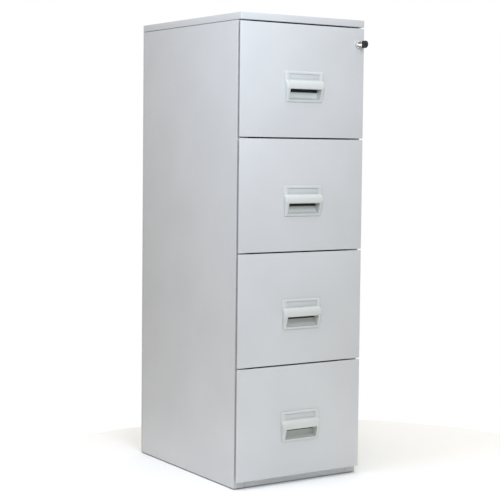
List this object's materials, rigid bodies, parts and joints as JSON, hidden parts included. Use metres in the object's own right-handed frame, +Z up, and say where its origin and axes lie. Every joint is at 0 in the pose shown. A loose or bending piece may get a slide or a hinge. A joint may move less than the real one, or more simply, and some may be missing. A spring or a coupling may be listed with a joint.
{
  "type": "filing cabinet",
  "caption": "Tall metal filing cabinet with full-extension drawers, recessed pull handles with label holders, and a keyed lock bar.",
  "frame": {"origin": "on the floor, at the centre of the box that holds the cabinet and its key", "axes": "+X to the right seen from the front, +Y from the drawer fronts to the back panel, +Z up"},
  "size_m": [0.42, 0.606, 1.32],
  "materials": {
    "body_paint": "fine satin powder coat",
    "tray_paint": "satin powder coat",
    "zinc_steel": "zinc plated",
    "handle_plastic": "satin moulded",
    "card": "blank card",
    "lock_chrome": "bright plated",
    "key_steel": "nickel plated",
    "key_plastic": "black moulded",
    "foot_plastic": "black moulded"
  },
  "bodies": {
    "carcass": {"side_panel_left": "body_paint", "side_panel_right": "body_paint", "back_panel": "body_paint", "top_cap": "body_paint", "base_pan": "body_paint", "plinth_rail": "body_paint", "rear_post_left": "zinc_steel", "rear_post_right": "zinc_steel", "lock_bar_guide_lower": "zinc_steel", "lock_bar_guide_upper": "zinc_steel", "levelling_foot_1": "foot_plastic", "levelling_foot_2": "foot_plastic", "levelling_foot_3": "foot_plastic", "levelling_foot_4": "foot_plastic", "slide_1_outer_left": "zinc_steel", "slide_1_outer_right": "zinc_steel", "slide_2_outer_left": "zinc_steel", "slide_2_outer_right": "zinc_steel", "slide_3_outer_left": "zinc_steel", "slide_3_outer_right": "zinc_steel", "slide_4_outer_left": "zinc_steel", "slide_4_outer_right": "zinc_steel"},
    "drawer_1": {"drawer_1_front": "body_paint", "drawer_1_tray": "tray_paint", "drawer_1_handle": "handle_plastic", "drawer_1_label": "card", "slide_1_inner_left": "zinc_steel", "slide_1_inner_right": "zinc_steel", "lock_barrel": "zinc_steel"},
    "middle_1": {"slide_1_middle_left": "zinc_steel", "slide_1_middle_right": "zinc_steel"},
    "drawer_2": {"drawer_2_front": "body_paint", "drawer_2_tray": "tray_paint", "drawer_2_handle": "handle_plastic", "drawer_2_label": "card", "slide_2_inner_left": "zinc_steel", "slide_2_inner_right": "zinc_steel"},
    "middle_2": {"slide_2_middle_left": "zinc_steel", "slide_2_middle_right": "zinc_steel"},
    "drawer_3": {"drawer_3_front": "body_paint", "drawer_3_tray": "tray_paint", "drawer_3_handle": "handle_plastic", "drawer_3_label": "card", "slide_3_inner_left": "zinc_steel", "slide_3_inner_right": "zinc_steel"},
    "middle_3": {"slide_3_middle_left": "zinc_steel", "slide_3_middle_right": "zinc_steel"},
    "drawer_4": {"drawer_4_front": "body_paint", "drawer_4_tray": "tray_paint", "drawer_4_handle": "handle_plastic", "drawer_4_label": "card", "slide_4_inner_left": "zinc_steel", "slide_4_inner_right": "zinc_steel"},
    "middle_4": {"slide_4_middle_left": "zinc_steel", "slide_4_middle_right": "zinc_steel"},
    "plug": {"lock_plug": "lock_chrome"},
    "key": {"key_blade": "key_steel", "key_bow": "key_plastic"},
    "lock_bar": {"lock_bar": "zinc_steel"}
  },
  "joints": [
    {"name": "drawer_1_slide", "type": "slide", "parent": "carcass", "child": "drawer_1", "axis": [0, -1, 0], "range_m": [0, 0.46]},
    {"name": "middle_1_slide", "type": "slide", "parent": "carcass", "child": "middle_1", "axis": [0, -1, 0], "range_m": [0, 0.23]},
    {"name": "drawer_2_slide", "type": "slide", "parent": "carcass", "child": "drawer_2", "axis": [0, -1, 0], "range_m": [0, 0.46]},
    {"name": "middle_2_slide", "type": "slide", "parent": "carcass", "child": "middle_2", "axis": [0, -1, 0], "range_m": [0, 0.23]},
    {"name": "drawer_3_slide", "type": "slide", "parent": "carcass", "child": "drawer_3", "axis": [0, -1, 0], "range_m": [0, 0.46]},
    {"name": "middle_3_slide", "type": "slide", "parent": "carcass", "child": "middle_3", "axis": [0, -1, 0], "range_m": [0, 0.23]},
    {"name": "drawer_4_slide", "type": "slide", "parent": "carcass", "child": "drawer_4", "axis": [0, -1, 0], "range_m": [0, 0.46]},
    {"name": "middle_4_slide", "type": "slide", "parent": "carcass", "child": "middle_4", "axis": [0, -1, 0], "range_m": [0, 0.23]},
    {"name": "key_turn", "type": "hinge", "parent": "drawer_1", "child": "plug", "pos_m": [0.188, -0.257, 1.249], "axis": [0, 1, 0], "range_deg": [0, 90]},
    {"name": "key_withdraw", "type": "slide", "parent": "plug", "child": "key", "axis": [0, -1, 0], "range_m": [0, 0.03]},
    {"name": "lock_bar_lift", "type": "slide", "parent": "carcass", "child": "lock_bar", "axis": [0, 0, 1], "range_m": [0, 0.0127]}
  ],
  "couplings": [
    {"joint": "middle_1_slide", "follows": "drawer_1_slide", "ratio": 0.5},
    {"joint": "middle_2_slide", "follows": "drawer_2_slide", "ratio": 0.5},
    {"joint": "middle_3_slide", "follows": "drawer_3_slide", "ratio": 0.5},
    {"joint": "middle_4_slide", "follows": "drawer_4_slide", "ratio": 0.5},
    {"joint": "key_turn", "follows": "lock_bar_lift", "rad_per_m": 123.41}
  ]
}
